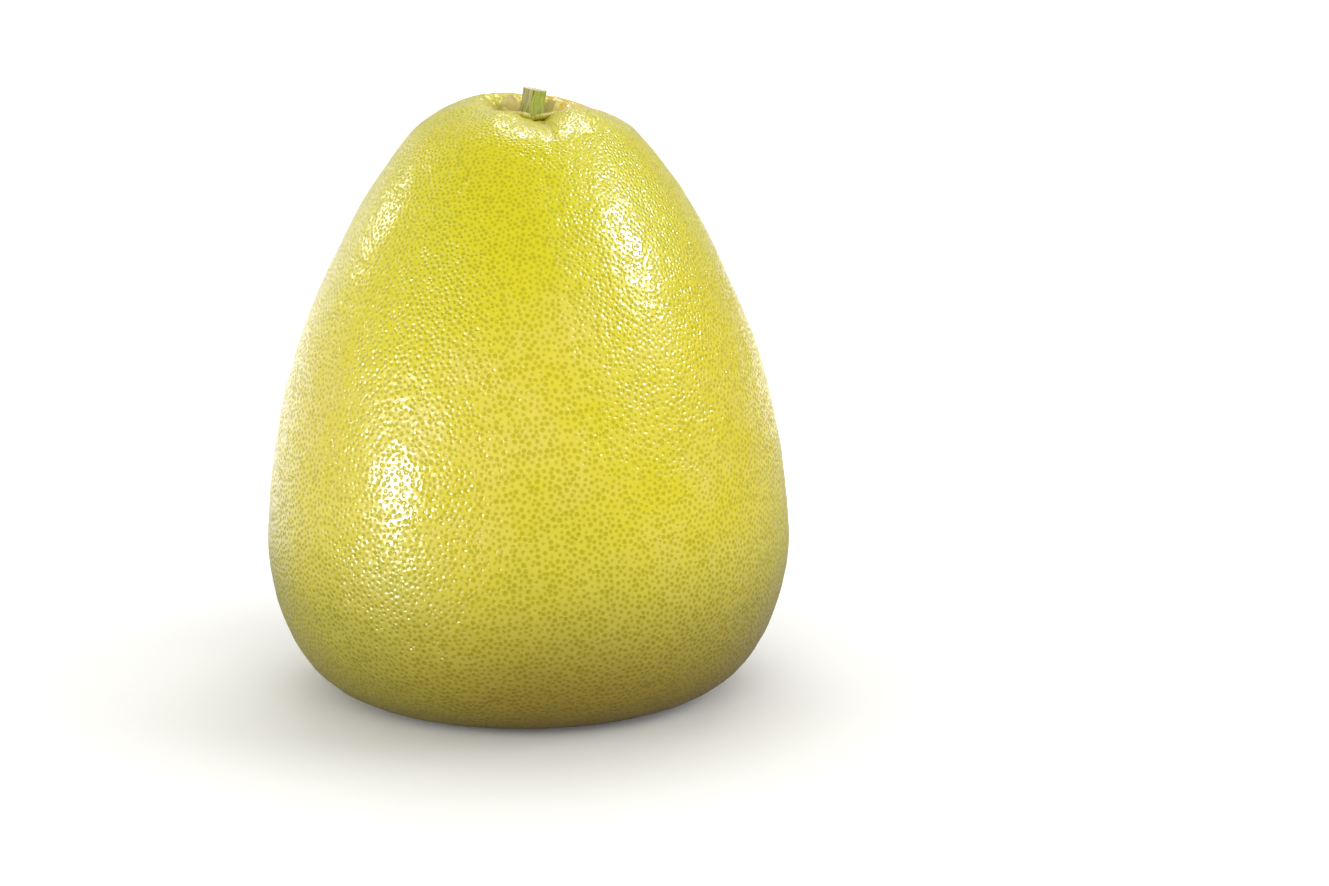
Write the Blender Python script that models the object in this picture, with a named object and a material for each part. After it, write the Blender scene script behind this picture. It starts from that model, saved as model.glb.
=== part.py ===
"""A whole pomelo: a pear-shaped fruit in its pitted rind, the five-lobed calyx that sits in the dip
at its top, and the cut end of the twig that stands in the calyx.

Metres, +Z up. The origin is the middle of the flat spot that the fruit rests on, and -Y is the side
that the photograph shows. Sizes are given in millimetres and turned to metres as they are used.
"""

import math
import random
from collections import deque

import bmesh
import bpy
import numpy as np
from mathutils import Vector, noise

MM = 0.001

# The fruit's half outline, from the middle of the dip over the shoulder to the middle of the base:
# radius and height in millimetres. It gives the fruit its width of 150 and its height of 170.
OUTLINE_MM = [
    (0.0, 163.4),
    (5.9, 163.5),
    (9.6, 165.8),
    (14.5, 168.8),
    (20.0, 168.2),
    (26.5, 165.2),
    (33.0, 159.6),
    (44.2, 144.5),
    (54.8, 125.0),
    (65.0, 101.0),
    (71.8, 75.0),
    (75.0, 46.0),
    (73.4, 30.0),
    (68.5, 17.2),
    (61.2, 7.6),
    (51.5, 1.8),
    (38.0, 0.3),
    (24.0, 0.0),
    (0.0, 0.0),
]
OUTLINE_STEPS = 40

# The body isn't round: waves run round it, as (lobes, rise as a share of the radius, phase, twist
# from base to top). Their phases leave the outline seen from the front as it is.
BODY_WAVES = [(2, 0.007, 0.0, 0.5), (3, 0.007, 0.0, -0.9), (5, 0.003, 0.3, 1.2)]
# Broad swellings and hollows: height, turn in degrees, rise and reach in millimetres.
SWELLINGS_MM = [
    (58.0, -122.0, 0.8, 26.0),
    (92.0, -112.0, -0.6, 18.0),
    (122.0, -146.0, 0.7, 17.0),
    (118.0, -52.0, 0.6, 22.0),
    (70.0, 35.0, 0.8, 28.0),
    (104.0, 88.0, -0.8, 24.0),
    (60.0, 160.0, -0.7, 24.0),
]

# The rim of the dip: it is highest at the back left and notched at the front, and folds run over it
# and down the shoulder. Each fold has its turn and half width in degrees and its depth in
# millimetres, which is below zero where the rim bulges.
DIP_CENTRE_MM = (1.8, 0.0)
RIM_RADIUS_MM = 15.0
RIM_TILT_MM = 1.6
RIM_HIGH_TURN = 138.0
RIM_FOLDS = [
    (-82.0, 22.0, 2.2),
    (-42.0, 24.0, -1.9),
    (-4.0, 26.0, 1.7),
    (34.0, 17.0, 1.0),
    (88.0, 14.0, 0.9),
    (178.0, 16.0, 0.5),
    (-138.0, 16.0, 0.9),
]

# The rind's oil glands are pits. Here they are four times larger than life, 6.8 apart, so that the
# solid stays light. The lattice of the mesh has three vertices for each pit.
LATTICE_STEPS = 24
PIT_DEPTH_MM = 0.45
LATTICE_WARP = 0.045
LATTICE_JITTER = 0.18
RIND_SEED = 7

# The calyx: a cup that holds the foot of the twig, with five lobes that stand up from its brim.
# Each lobe has its turn and half width in degrees, its reach from the middle of the cup and its rise
# above the seat in millimetres, and its slant, the share by which it is higher at its far side. A
# lobe's wall is thickest along its middle.
SEAT_HEIGHT_MM = 163.5
SEAT_GAP_MM = 0.3
CUP_RADIUS_MM = 5.6
CUP_FLOOR_MM = 1.1
CUP_BRIM_MM = 2.4
SOCKET_RADIUS_MM = 4.5
CALYX_LOBES = [
    (-130.0, 38.0, 8.8, 4.6, 0.0),
    (-50.0, 34.0, 8.5, 4.4, 0.1),
    (28.0, 32.0, 8.3, 6.5, 0.0),
    (82.0, 20.0, 8.2, 6.0, 0.0),
    (145.0, 40.0, 9.0, 6.4, -0.25),
]
LOBE_WALL_MM = 1.5
CALYX_SEGMENTS = 72
CALYX_RINGS = 18

# The twig: five ribs, a foot wider than its cut end, and a cut that slopes down to the right.
STEM_FOOT_RADIUS_MM = 3.95
STEM_TOP_RADIUS_MM = 3.35
STEM_LENGTH_MM = 8.2
STEM_LEAN_MM = 0.7
STEM_RIBS = 5
STEM_RIB_TURN = -109.0
STEM_RIB_SHARE = 0.07
STEM_CUT_SLOPE = 0.17
STEM_SEGMENTS = 40
STEM_RINGS = 7
BARK_MM = 0.55
PITH_DROP_MM = 0.25

COLOURS = {
    "rind": (0.74, 0.65, 0.09),
    "calyx": (0.52, 0.47, 0.18),
    "stem": (0.27, 0.31, 0.06),
}
ROUGHNESS = {"rind": 0.38, "calyx": 0.7, "stem": 0.6}


def clear_scene():
    for obj in list(bpy.data.objects):
        bpy.data.objects.remove(obj, do_unlink=True)


def smoothstep(value, low, high):
    share = min(1.0, max(0.0, (value - low) / (high - low)))
    return share * share * (3.0 - 2.0 * share)


def turn_gap(turn, other):
    """The angle between two turns, in radians, from 0 to pi."""
    return abs((turn - other + math.pi) % (2.0 * math.pi) - math.pi)


def smooth_line(points, steps):
    """A Catmull-Rom curve through the points, as an array with steps points for each stretch."""
    knots = np.array(points, float)
    before = 2.0 * knots[0] - knots[1]
    after = 2.0 * knots[-1] - knots[-2]
    knots = np.vstack([before, knots, after])
    share = np.linspace(0.0, 1.0, steps, endpoint=False)[:, None]
    stretches = []
    for a, b, c, d in zip(knots, knots[1:], knots[2:], knots[3:]):
        stretches.append(
            0.5
            * (
                2.0 * b
                + (c - a) * share
                + (2.0 * a - 5.0 * b + 4.0 * c - d) * share**2
                + (3.0 * b - a - 3.0 * c + d) * share**3
            )
        )
    return np.vstack([*stretches, knots[-2:-1]])


def length_shares(line):
    """How far along the line each of its points is, from 0 to 1."""
    steps = np.linalg.norm(np.diff(line, axis=0), axis=1)
    return np.concatenate([[0.0], np.cumsum(steps)]) / steps.sum()


OUTLINE = smooth_line(OUTLINE_MM, OUTLINE_STEPS)
OUTLINE_SHARES = length_shares(OUTLINE)


def rim_rise(radius, turn):
    """How far the rim's tilt and folds lift or lower the surface, in millimetres."""
    folds = sum(
        depth * math.exp(-((turn_gap(turn, math.radians(at)) / math.radians(width)) ** 2))
        for at, width, depth in RIM_FOLDS
    )
    inside = smoothstep(radius, 0.45 * RIM_RADIUS_MM, RIM_RADIUS_MM)
    outside = 1.0 - smoothstep(radius, RIM_RADIUS_MM, 2.6 * RIM_RADIUS_MM)
    tilt = RIM_TILT_MM * math.cos(turn - math.radians(RIM_HIGH_TURN))
    return inside * outside * (tilt - folds)


def swelling(height, radius, turn):
    """The broad swellings and hollows, in millimetres outwards."""
    rise = 0.0
    for at_height, at_turn, peak, reach in SWELLINGS_MM:
        across = radius * turn_gap(turn, math.radians(at_turn))
        away = math.hypot(across, height - at_height) / reach
        rise += peak * math.exp(-away * away)
    return rise


def fruit_point(direction):
    """The point of the fruit's smooth surface, in metres, for a direction on the unit sphere."""
    share = math.acos(max(-1.0, min(1.0, direction.z))) / math.pi
    turn = math.atan2(direction.y, direction.x)
    radius = float(np.interp(share, OUTLINE_SHARES, OUTLINE[:, 0]))
    height = float(np.interp(share, OUTLINE_SHARES, OUTLINE[:, 1]))
    on_side = smoothstep(height, 4.0, 30.0) * smoothstep(radius, 20.0, 45.0)
    level = height / OUTLINE_MM[0][1]
    wave = sum(
        rise * math.sin(lobes * turn + phase + twist * (level - 0.4))
        for lobes, rise, phase, twist in BODY_WAVES
    )
    in_dip = 0.0
    if share < 0.5:
        height += rim_rise(radius, turn)
        in_dip = 1.0 - smoothstep(radius, 10.0, 34.0)
    radius += on_side * (radius * wave + swelling(height, radius, turn))
    return MM * Vector(
        (
            radius * math.cos(turn) + in_dip * DIP_CENTRE_MM[0],
            radius * math.sin(turn) + in_dip * DIP_CENTRE_MM[1],
            max(0.0, height),
        )
    )


def lattice_sphere(steps):
    """A unit sphere of nearly equal triangles, with steps of them along each icosahedron edge."""
    bm = bmesh.new()
    bmesh.ops.create_icosphere(bm, subdivisions=1, radius=1.0)
    bmesh.ops.subdivide_edges(bm, edges=bm.edges[:], cuts=steps - 1, use_grid_fill=True)
    bmesh.ops.triangulate(bm, faces=bm.faces[:])
    for vert in bm.verts:
        vert.co.normalize()
    return bm


def pit_centres(bm):
    """Every third vertex of the lattice, so that six others ring each one. Across the far edge of
    each triangle round a centre lies the next centre."""
    top = max(bm.verts, key=lambda vert: vert.co.z)
    centres = {top}
    waiting = deque([top])
    while waiting:
        centre = waiting.popleft()
        for face in centre.link_faces:
            far_edge = next(edge for edge in face.edges if centre not in edge.verts)
            beyond = next(other for other in far_edge.link_faces if other is not face)
            found = next(vert for vert in beyond.verts if vert not in far_edge.verts)
            if found not in centres:
                centres.add(found)
                waiting.append(found)
    return centres


def loosen_lattice(bm):
    """Bends the lattice's rows and shifts each vertex a little, because pits don't grow in rows."""
    draw = random.Random(RIND_SEED)
    noise.seed_set(RIND_SEED)
    spacing = math.radians(63.4) / LATTICE_STEPS
    for vert in bm.verts:
        bend = noise.noise_vector(vert.co * 3.1 + Vector((RIND_SEED, 0.0, 0.0)))
        shift = Vector([draw.uniform(-1.0, 1.0) for _ in range(3)])
        vert.co += LATTICE_WARP * bend + LATTICE_JITTER * spacing * shift
        vert.co.normalize()


def add_object(name, bm, collection):
    mesh = bpy.data.meshes.new(name)
    bm.to_mesh(mesh)
    bm.free()
    obj = bpy.data.objects.new(name, mesh)
    collection.objects.link(obj)
    return obj


def make_fruit(collection):
    """The fruit: the outline turned over a lattice of triangles, with a pit at every third vertex."""
    bm = lattice_sphere(LATTICE_STEPS)
    centres = pit_centres(bm)
    loosen_lattice(bm)
    for vert in bm.verts:
        vert.co = fruit_point(vert.co)
    bm.normal_update()
    for vert in centres:
        radius = math.hypot(vert.co.x, vert.co.y) / MM
        height = vert.co.z / MM
        clear_of_dip = 1.0 if height < 120.0 else smoothstep(radius, 13.0, 22.0)
        depth = PIT_DEPTH_MM * clear_of_dip * smoothstep(height, 2.0, 8.0)
        vert.co -= vert.normal * (depth * MM)
    return add_object("fruit", bm, collection)


def lobe_at(turn):
    """How much of a lobe there is at this turn, from 0 to 1, and that lobe's reach and rise here."""
    nearest = min(CALYX_LOBES, key=lambda lobe: turn_gap(turn, math.radians(lobe[0])) / lobe[1])
    at, half_width, reach, rise, slant = nearest
    gap = (turn - math.radians(at) + math.pi) % (2.0 * math.pi) - math.pi
    away = max(-1.0, min(1.0, gap / math.radians(half_width)))
    share = math.sqrt(1.0 - away**4)
    return share, reach, rise * (1.0 + slant * away)


def calyx_section(turn):
    """The calyx cut through at this turn, from the middle of the socket over the brim to the middle
    of the underside: distance from the axis and height above the seat, in millimetres."""
    share, lobe_reach, lobe_rise = lobe_at(turn)
    foot = SEAT_GAP_MM
    floor = foot + CUP_FLOOR_MM
    reach = CUP_RADIUS_MM + 0.7 + share * (lobe_reach - CUP_RADIUS_MM - 0.7)
    brim = CUP_BRIM_MM + share * (lobe_rise - CUP_BRIM_MM)
    wall = LOBE_WALL_MM * (0.7 + 0.3 * share)
    inner = SOCKET_RADIUS_MM + 0.2
    return [
        (0.0, floor),
        (SOCKET_RADIUS_MM - 0.25, floor),
        (SOCKET_RADIUS_MM, floor + 0.3),
        (0.5 * inner + 0.5 * (reach - wall), 0.5 * floor + 0.5 * brim),
        (reach - wall, brim - 0.15),
        (reach - 0.45 * wall, brim),
        (reach, brim - 0.4 * wall),
        (0.5 * (CUP_RADIUS_MM + reach) + 0.3, 0.5 * (foot + 0.9 + brim) - 0.5 * wall),
        (CUP_RADIUS_MM, foot + 0.9),
        (CUP_RADIUS_MM - 0.9, foot),
        (0.0, foot),
    ]


def make_calyx(collection):
    """The calyx: a ball whose rings are laid along the calyx's section at each turn."""
    bm = bmesh.new()
    bmesh.ops.create_uvsphere(bm, u_segments=CALYX_SEGMENTS, v_segments=CALYX_RINGS, radius=1.0)
    sections = {}
    for vert in bm.verts:
        share = math.acos(max(-1.0, min(1.0, vert.co.z))) / math.pi
        turn = math.atan2(vert.co.y, vert.co.x)
        key = round(turn, 4)
        if key not in sections:
            line = smooth_line(calyx_section(turn), 8)
            sections[key] = (length_shares(line), line)
        shares, line = sections[key]
        reach = float(np.interp(share, shares, line[:, 0]))
        height = float(np.interp(share, shares, line[:, 1]))
        vert.co = MM * Vector(
            (
                max(0.0, reach) * math.cos(turn) + DIP_CENTRE_MM[0],
                max(0.0, reach) * math.sin(turn) + DIP_CENTRE_MM[1],
                SEAT_HEIGHT_MM + height,
            )
        )
    bmesh.ops.recalc_face_normals(bm, faces=bm.faces[:])
    return add_object("calyx", bm, collection)


def make_stem(collection):
    """The twig: a cylinder with rings along it, drawn in to ribs, leaned, and cut on a slope. Its cut
    end shows a ring of bark round a slightly sunken pith."""
    foot_height = SEAT_HEIGHT_MM + SEAT_GAP_MM + CUP_FLOOR_MM + SEAT_GAP_MM
    bm = bmesh.new()
    bmesh.ops.create_cone(
        bm, cap_ends=True, segments=STEM_SEGMENTS, radius1=1.0, radius2=1.0, depth=1.0
    )
    uprights = [edge for edge in bm.edges if abs(edge.verts[0].co.z - edge.verts[1].co.z) > 0.5]
    bmesh.ops.subdivide_edges(bm, edges=uprights, cuts=STEM_RINGS)
    for vert in bm.verts:
        level = vert.co.z + 0.5
        turn = math.atan2(vert.co.y, vert.co.x)
        radius = STEM_FOOT_RADIUS_MM + level * (STEM_TOP_RADIUS_MM - STEM_FOOT_RADIUS_MM)
        rib = math.cos(STEM_RIBS * (turn - math.radians(STEM_RIB_TURN)))
        radius *= 1.0 + STEM_RIB_SHARE * (rib - 1.0)
        radius -= 0.25 * math.sin(math.pi * level)
        length = STEM_LENGTH_MM - STEM_CUT_SLOPE * radius * math.cos(turn)
        vert.co = MM * Vector(
            (
                DIP_CENTRE_MM[0] + radius * math.cos(turn) + STEM_LEAN_MM * level,
                DIP_CENTRE_MM[1] + radius * math.sin(turn),
                foot_height + length * level,
            )
        )
    bm.normal_update()
    cut_end = max(bm.faces, key=lambda face: face.normal.z)
    bmesh.ops.inset_region(bm, faces=[cut_end], thickness=BARK_MM * MM)
    bmesh.ops.inset_region(
        bm, faces=[cut_end], thickness=BARK_MM * MM, depth=-PITH_DROP_MM * MM
    )
    bmesh.ops.recalc_face_normals(bm, faces=bm.faces[:])
    return add_object("stem", bm, collection)


def give_material(obj, name):
    material = bpy.data.materials.new(name)
    material.use_nodes = True
    shader = material.node_tree.nodes["Principled BSDF"]
    shader.inputs["Base Color"].default_value = (*COLOURS[name], 1.0)
    shader.inputs["Roughness"].default_value = ROUGHNESS[name]
    shader.inputs["Metallic"].default_value = 0.0
    obj.data.materials.append(material)
    obj.data.shade_smooth()


def main():
    clear_scene()
    collection = bpy.data.collections.new("pomelo")
    bpy.context.scene.collection.children.link(collection)
    give_material(make_fruit(collection), "rind")
    give_material(make_calyx(collection), "calyx")
    give_material(make_stem(collection), "stem")


main()
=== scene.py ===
"""The looks of a whole pomelo: its rind with every oil gland, the half-dried calyx in the dip at its
top and the cut twig that stands in the calyx, on a white table in soft studio light.

Metres, +Z up, -Y towards the camera. Sizes of the fruit are given in millimetres and turned to metres
as they are used.
"""

import math

import bpy
import numpy as np
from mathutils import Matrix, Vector, geometry


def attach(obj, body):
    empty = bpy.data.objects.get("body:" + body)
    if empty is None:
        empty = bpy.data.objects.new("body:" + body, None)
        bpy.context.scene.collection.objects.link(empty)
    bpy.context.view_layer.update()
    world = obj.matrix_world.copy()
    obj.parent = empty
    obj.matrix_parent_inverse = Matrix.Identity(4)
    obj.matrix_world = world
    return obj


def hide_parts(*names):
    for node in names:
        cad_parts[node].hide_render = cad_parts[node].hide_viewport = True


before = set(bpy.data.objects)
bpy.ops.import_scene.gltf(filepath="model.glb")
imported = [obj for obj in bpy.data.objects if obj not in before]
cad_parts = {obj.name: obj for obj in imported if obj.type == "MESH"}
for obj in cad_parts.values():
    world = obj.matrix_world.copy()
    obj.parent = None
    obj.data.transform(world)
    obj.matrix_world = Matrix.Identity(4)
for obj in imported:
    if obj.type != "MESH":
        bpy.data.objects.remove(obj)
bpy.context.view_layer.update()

MM = 0.001

# The photograph's frame, the size of one of its pixels at the fruit's axis, and the pixel where the
# point at FOCUS_HEIGHT_MM on the axis is seen. The camera stands a little above the fruit's middle.
PHOTO_WIDTH_PX = 1329
PHOTO_HEIGHT_PX = 886
PIXEL_MM = 0.2863
AXIS_PX = (528.0, 385.0)
FOCUS_HEIGHT_MM = 88.0
CAMERA_DISTANCE_MM = 900.0
CAMERA_ELEVATION = math.radians(11.0)
SENSOR_MM = 36.0

# The fruit's half outline, from the middle of the dip over the shoulder to the middle of the base:
# radius and height in millimetres.
OUTLINE_MM = [
    (0.0, 163.4),
    (5.9, 163.5),
    (9.6, 165.8),
    (14.5, 168.8),
    (20.0, 168.2),
    (26.5, 165.2),
    (33.0, 159.6),
    (44.2, 144.5),
    (54.8, 125.0),
    (65.0, 101.0),
    (71.8, 75.0),
    (75.0, 46.0),
    (73.4, 30.0),
    (68.5, 17.2),
    (61.2, 7.6),
    (51.5, 1.8),
    (38.0, 0.3),
    (24.0, 0.0),
    (0.0, 0.0),
]
OUTLINE_STEPS = 40

# The body isn't round: waves run round it, as (lobes, rise as a share of the radius, phase, twist
# from base to top), and it has swellings and hollows: height, turn in degrees, rise and reach in mm.
# Both fade in over these heights above the base, and over these radii outwards.
SIDE_HEIGHTS_MM = (4.0, 30.0)
SIDE_RADII_MM = (20.0, 45.0)
BODY_WAVES = [(2, 0.007, 0.0, 0.5), (3, 0.007, 0.0, -0.9), (5, 0.003, 0.3, 1.2)]
SWELLINGS_MM = [
    (58.0, -122.0, 0.8, 26.0),
    (92.0, -112.0, -0.6, 18.0),
    (122.0, -146.0, 0.7, 17.0),
    (118.0, -52.0, 0.6, 22.0),
    (70.0, 35.0, 0.8, 28.0),
    (104.0, 88.0, -0.8, 24.0),
    (60.0, 160.0, -0.7, 24.0),
]

# Where the skin is paler or riper than elsewhere, as broad patches: height, turn in degrees, how much
# paler, below zero where it is riper, and reach in mm.
PALE_PATCHES_MM = [
    (137.0, -114.0, -0.5, 22.0),
    (63.0, -83.0, -0.45, 15.0),
    (114.0, -131.0, -0.5, 18.0),
    (119.0, -81.0, 0.4, 13.0),
    (80.0, -92.0, 0.35, 18.0),
    (120.0, -40.0, -0.3, 20.0),
    (84.0, 20.0, -0.4, 26.0),
    (112.0, 110.0, 0.4, 24.0),
    (70.0, 150.0, -0.4, 30.0),
]

# The warm yellow patch at the back of the dip, given in the same way, and the pale skin in the dip:
# how pale, and the radii and heights over which it fades.
WARM_PATCH_MM = (167.0, 32.0, 0.9, 10.5)
DIP_PALENESS = 0.7
DIP_PALE_RADII_MM = (7.0, 13.0)
DIP_PALE_HEIGHTS_MM = (130.0, 150.0)

# The dip stands off the axis, fading over the radii given. Its rim has a tilt, and folds with their
# turn and half width in degrees and their depth in millimetres, below zero where the rim bulges. They
# reach in and out from the rim by shares of its radius.
DIP_CENTRE_MM = (1.8, 0.0)
DIP_SHIFT_RADII_MM = (10.0, 34.0)
RIM_RADIUS_MM = 15.0
RIM_REACH = (0.45, 2.6)
RIM_TILT_MM = 1.6
RIM_HIGH_TURN = 138.0
RIM_FOLDS = [
    (-82.0, 22.0, 2.2),
    (-42.0, 24.0, -1.9),
    (-4.0, 26.0, 1.7),
    (34.0, 17.0, 1.0),
    (88.0, 14.0, 0.9),
    (178.0, 16.0, 0.5),
    (-138.0, 16.0, 0.9),
]

# The oil glands: how many there are, and their spacing for places this far along the outline from the
# middle of the dip, in millimetres. They are smaller towards the dip. Each is shifted by a share of
# the spacing, because glands don't grow in rows.
GLANDS = 32600
WIDEST_SPACING_MM = 1.75
GLAND_SPACING_MM = [
    (0.0, 0.95),
    (8.0, 0.95),
    (20.0, 1.25),
    (60.0, 1.45),
    (110.0, WIDEST_SPACING_MM),
    (300.0, WIDEST_SPACING_MM),
]
GLAND_SHIFT = 0.42
GOLDEN_ANGLE = math.pi * (3.0 - math.sqrt(5.0))
POLE_MARGIN_MM = 0.2
SEED = 7

# The rind's relief: where the skin counts as the top, the radii round the dip between which the pleats
# and the furrow start, are full, wane and end, and the lowest skin, which lies flat on the table.
TOP_HEIGHTS_MM = (120.0, 140.0)
PLEAT_RING_MM = (5.0, 9.0, 11.0, 19.0)
PLEAT_SWING = 9.0
FURROW_RING_MM = (8.0, 12.0, 18.0, 34.0)
TABLE_HEIGHTS_MM = (0.5, 6.0)

# The calyx: a cup with five lobes. Each lobe has its turn and half width in degrees, its reach and
# its rise above the seat in millimetres, and its slant.
SEAT_HEIGHT_MM = 163.5
SEAT_GAP_MM = 0.3
CUP_RADIUS_MM = 5.6
CUP_FOOT_MM = 0.9
CUP_LIP_MM = 0.7
CUP_FLOOR_MM = 1.1
CUP_BRIM_MM = 2.4
SOCKET_RADIUS_MM = 4.5
CALYX_LOBES = [
    (-130.0, 38.0, 8.8, 3.8, 0.0),
    (-50.0, 34.0, 8.5, 3.4, 0.1),
    (28.0, 30.0, 8.3, 5.8, 0.0),
    (82.0, 20.0, 8.2, 6.0, 0.0),
    (152.0, 27.0, 9.0, 6.4, -0.3),
]
LOBE_WALL_MM = 1.5
FIBRE_RISE_MM = 0.05
CALYX_TURNS = 360
CALYX_ROWS = 110
SECTION_STEPS = 12

# The twig: five ribs, fine grooves, a narrower waist, and a cut that slopes down to the right, with
# its rows of points given as shares of the radius, from just inside the bark to the middle.
STEM_FOOT_RADIUS_MM = 3.95
STEM_TOP_RADIUS_MM = 3.5
STEM_LENGTH_MM = 7.6
STEM_LEAN_MM = 1.3
STEM_RIBS = 5
STEM_RIB_TURN = -109.0
STEM_RIB_SHARE = 0.07
STEM_WAIST_MM = 0.25
STEM_GROOVE_MM = 0.05
STEM_CUT_SLOPE = 0.17
STEM_TURNS = 300
STEM_ROWS = 60
FOOT_ROWS = 8
CUT_ROWS = (
    (0.985, 0.96, 0.92, 0.88, 0.84, 0.8, 0.75, 0.7, 0.6, 0.5, 0.4)
    + (0.34, 0.3, 0.26, 0.22, 0.15, 0.08, 0.0)
)
PITH_DROP_MM = 0.25


def linear(hex_colour):
    """An sRGB hex colour as the linear RGBA that Blender's sockets take."""
    parts = [int(hex_colour[at : at + 2], 16) / 255.0 for at in (1, 3, 5)]
    return (*(c / 12.92 if c <= 0.04045 else ((c + 0.055) / 1.055) ** 2.4 for c in parts), 1.0)


def add_node(tree, kind, inputs=None, output=0, **settings):
    """Adds a node with its settings, links or sets its inputs, and returns one of its outputs."""
    node = tree.nodes.new(kind)
    for name, value in settings.items():
        setattr(node, name, value)
    for socket, value in (inputs or {}).items():
        if isinstance(value, bpy.types.NodeSocket):
            tree.links.new(value, node.inputs[socket])
        else:
            node.inputs[socket].default_value = value
    return node.outputs[output] if node.outputs else node


def smoothstep(value, low, high):
    """0 below low, 1 above high, and an easy curve between."""
    share = np.clip((value - low) / (high - low), 0.0, 1.0)
    return share * share * (3.0 - 2.0 * share)


def turn_gap(turn, other):
    """The angle between two turns, in radians, from 0 to pi."""
    return np.abs((turn - other + math.pi) % (2.0 * math.pi) - math.pi)


def smooth_line(points, steps):
    """A Catmull-Rom curve through the points, with steps points for each stretch."""
    knots = np.array(points, float)
    knots = np.vstack([2.0 * knots[0] - knots[1], knots, 2.0 * knots[-1] - knots[-2]])
    share = np.linspace(0.0, 1.0, steps, endpoint=False)[:, None]
    stretches = []
    for a, b, c, d in zip(knots, knots[1:], knots[2:], knots[3:]):
        bend = (2.0 * a - 5.0 * b + 4.0 * c - d) * share**2
        twist = (3.0 * b - a - 3.0 * c + d) * share**3
        stretches.append(0.5 * (2.0 * b + (c - a) * share + bend + twist))
    return np.vstack([*stretches, knots[-2:-1]])


def lengths_along(line):
    """How far along the line each of its points is."""
    steps = np.linalg.norm(np.diff(line, axis=0), axis=1)
    return np.concatenate([[0.0], np.cumsum(steps)])


OUTLINE = smooth_line(OUTLINE_MM, OUTLINE_STEPS)
OUTLINE_ARC = lengths_along(OUTLINE)


def rim_rise(radius, turn):
    """How far the rim's tilt and folds lift or lower the surface, in millimetres."""
    folds = sum(
        depth * np.exp(-((turn_gap(turn, math.radians(at)) / math.radians(width)) ** 2))
        for at, width, depth in RIM_FOLDS
    )
    inside = smoothstep(radius, RIM_REACH[0] * RIM_RADIUS_MM, RIM_RADIUS_MM)
    outside = 1.0 - smoothstep(radius, RIM_RADIUS_MM, RIM_REACH[1] * RIM_RADIUS_MM)
    tilt = RIM_TILT_MM * np.cos(turn - math.radians(RIM_HIGH_TURN))
    return inside * outside * (tilt - folds)


def patches(places, height, radius, turn):
    """The sum of broad round patches, such as swellings, at these points of the skin."""
    total = 0.0
    for at_height, at_turn, peak, reach in places:
        across = radius * turn_gap(turn, math.radians(at_turn))
        total = total + peak * np.exp(-(across**2 + (height - at_height) ** 2) / reach**2)
    return total


def body_points(arc, turn):
    """Points of the fruit's smooth surface in metres, for places given by how far they are along the
    outline, in millimetres, and their turn."""
    radius = np.interp(arc, OUTLINE_ARC, OUTLINE[:, 0])
    height = np.interp(arc, OUTLINE_ARC, OUTLINE[:, 1])
    upper = arc < 0.5 * OUTLINE_ARC[-1]
    on_side = smoothstep(height, *SIDE_HEIGHTS_MM) * smoothstep(radius, *SIDE_RADII_MM)
    level = height / OUTLINE_MM[0][1]
    wave = sum(
        rise * np.sin(lobes * turn + phase + twist * (level - 0.4))
        for lobes, rise, phase, twist in BODY_WAVES
    )
    height = height + np.where(upper, rim_rise(radius, turn), 0.0)
    in_dip = np.where(upper, 1.0 - smoothstep(radius, *DIP_SHIFT_RADII_MM), 0.0)
    radius = radius + on_side * (radius * wave + patches(SWELLINGS_MM, height, radius, turn))
    across = radius * np.cos(turn) + in_dip * DIP_CENTRE_MM[0]
    along = radius * np.sin(turn) + in_dip * DIP_CENTRE_MM[1]
    return MM * np.stack([across, along, np.maximum(0.0, height)], axis=1)


# The fruit's skin is also laid flat with its angles kept, as a map, where neighbours are found.
MAP_LEAST_RADIUS_MM = 0.3
MAP_EDGE = 5.0


def map_logarithms():
    """For each point of the outline, the logarithm of its distance from the middle of the map."""
    radius = np.maximum(OUTLINE[:, 0], MAP_LEAST_RADIUS_MM)
    steps = np.diff(OUTLINE_ARC) * 0.5 * (1.0 / radius[1:] + 1.0 / radius[:-1])
    total = np.concatenate([[0.0], np.cumsum(steps)])
    return total - 0.5 * total[-1]


MAP_LOG = map_logarithms()


def to_map(arc, turn):
    """Places on the skin, by their distance along the outline and their turn, as points of the map."""
    reach = np.exp(np.interp(arc, OUTLINE_ARC, MAP_LOG))
    return np.stack([reach * np.cos(turn), reach * np.sin(turn)], axis=1)


def from_map(points):
    """Points of the map as places on the skin: distance along the outline, and turn."""
    reach = np.log(np.hypot(points[:, 0], points[:, 1]))
    return np.interp(reach, MAP_LOG, OUTLINE_ARC), np.arctan2(points[:, 1], points[:, 0])


def triangulate(points):
    """The Delaunay triangles of points on the map, each turned the same way."""
    flat = [Vector(point) for point in points.tolist()]
    triangles = np.array(geometry.delaunay_2d_cdt(flat, [], [], 0, 1e-9)[2])
    a, b, c = (points[triangles[:, corner]] for corner in range(3))
    area = (b - a)[:, 0] * (c - a)[:, 1] - (b - a)[:, 1] * (c - a)[:, 0]
    triangles[area < 0.0] = triangles[area < 0.0][:, ::-1]
    return triangles


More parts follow.
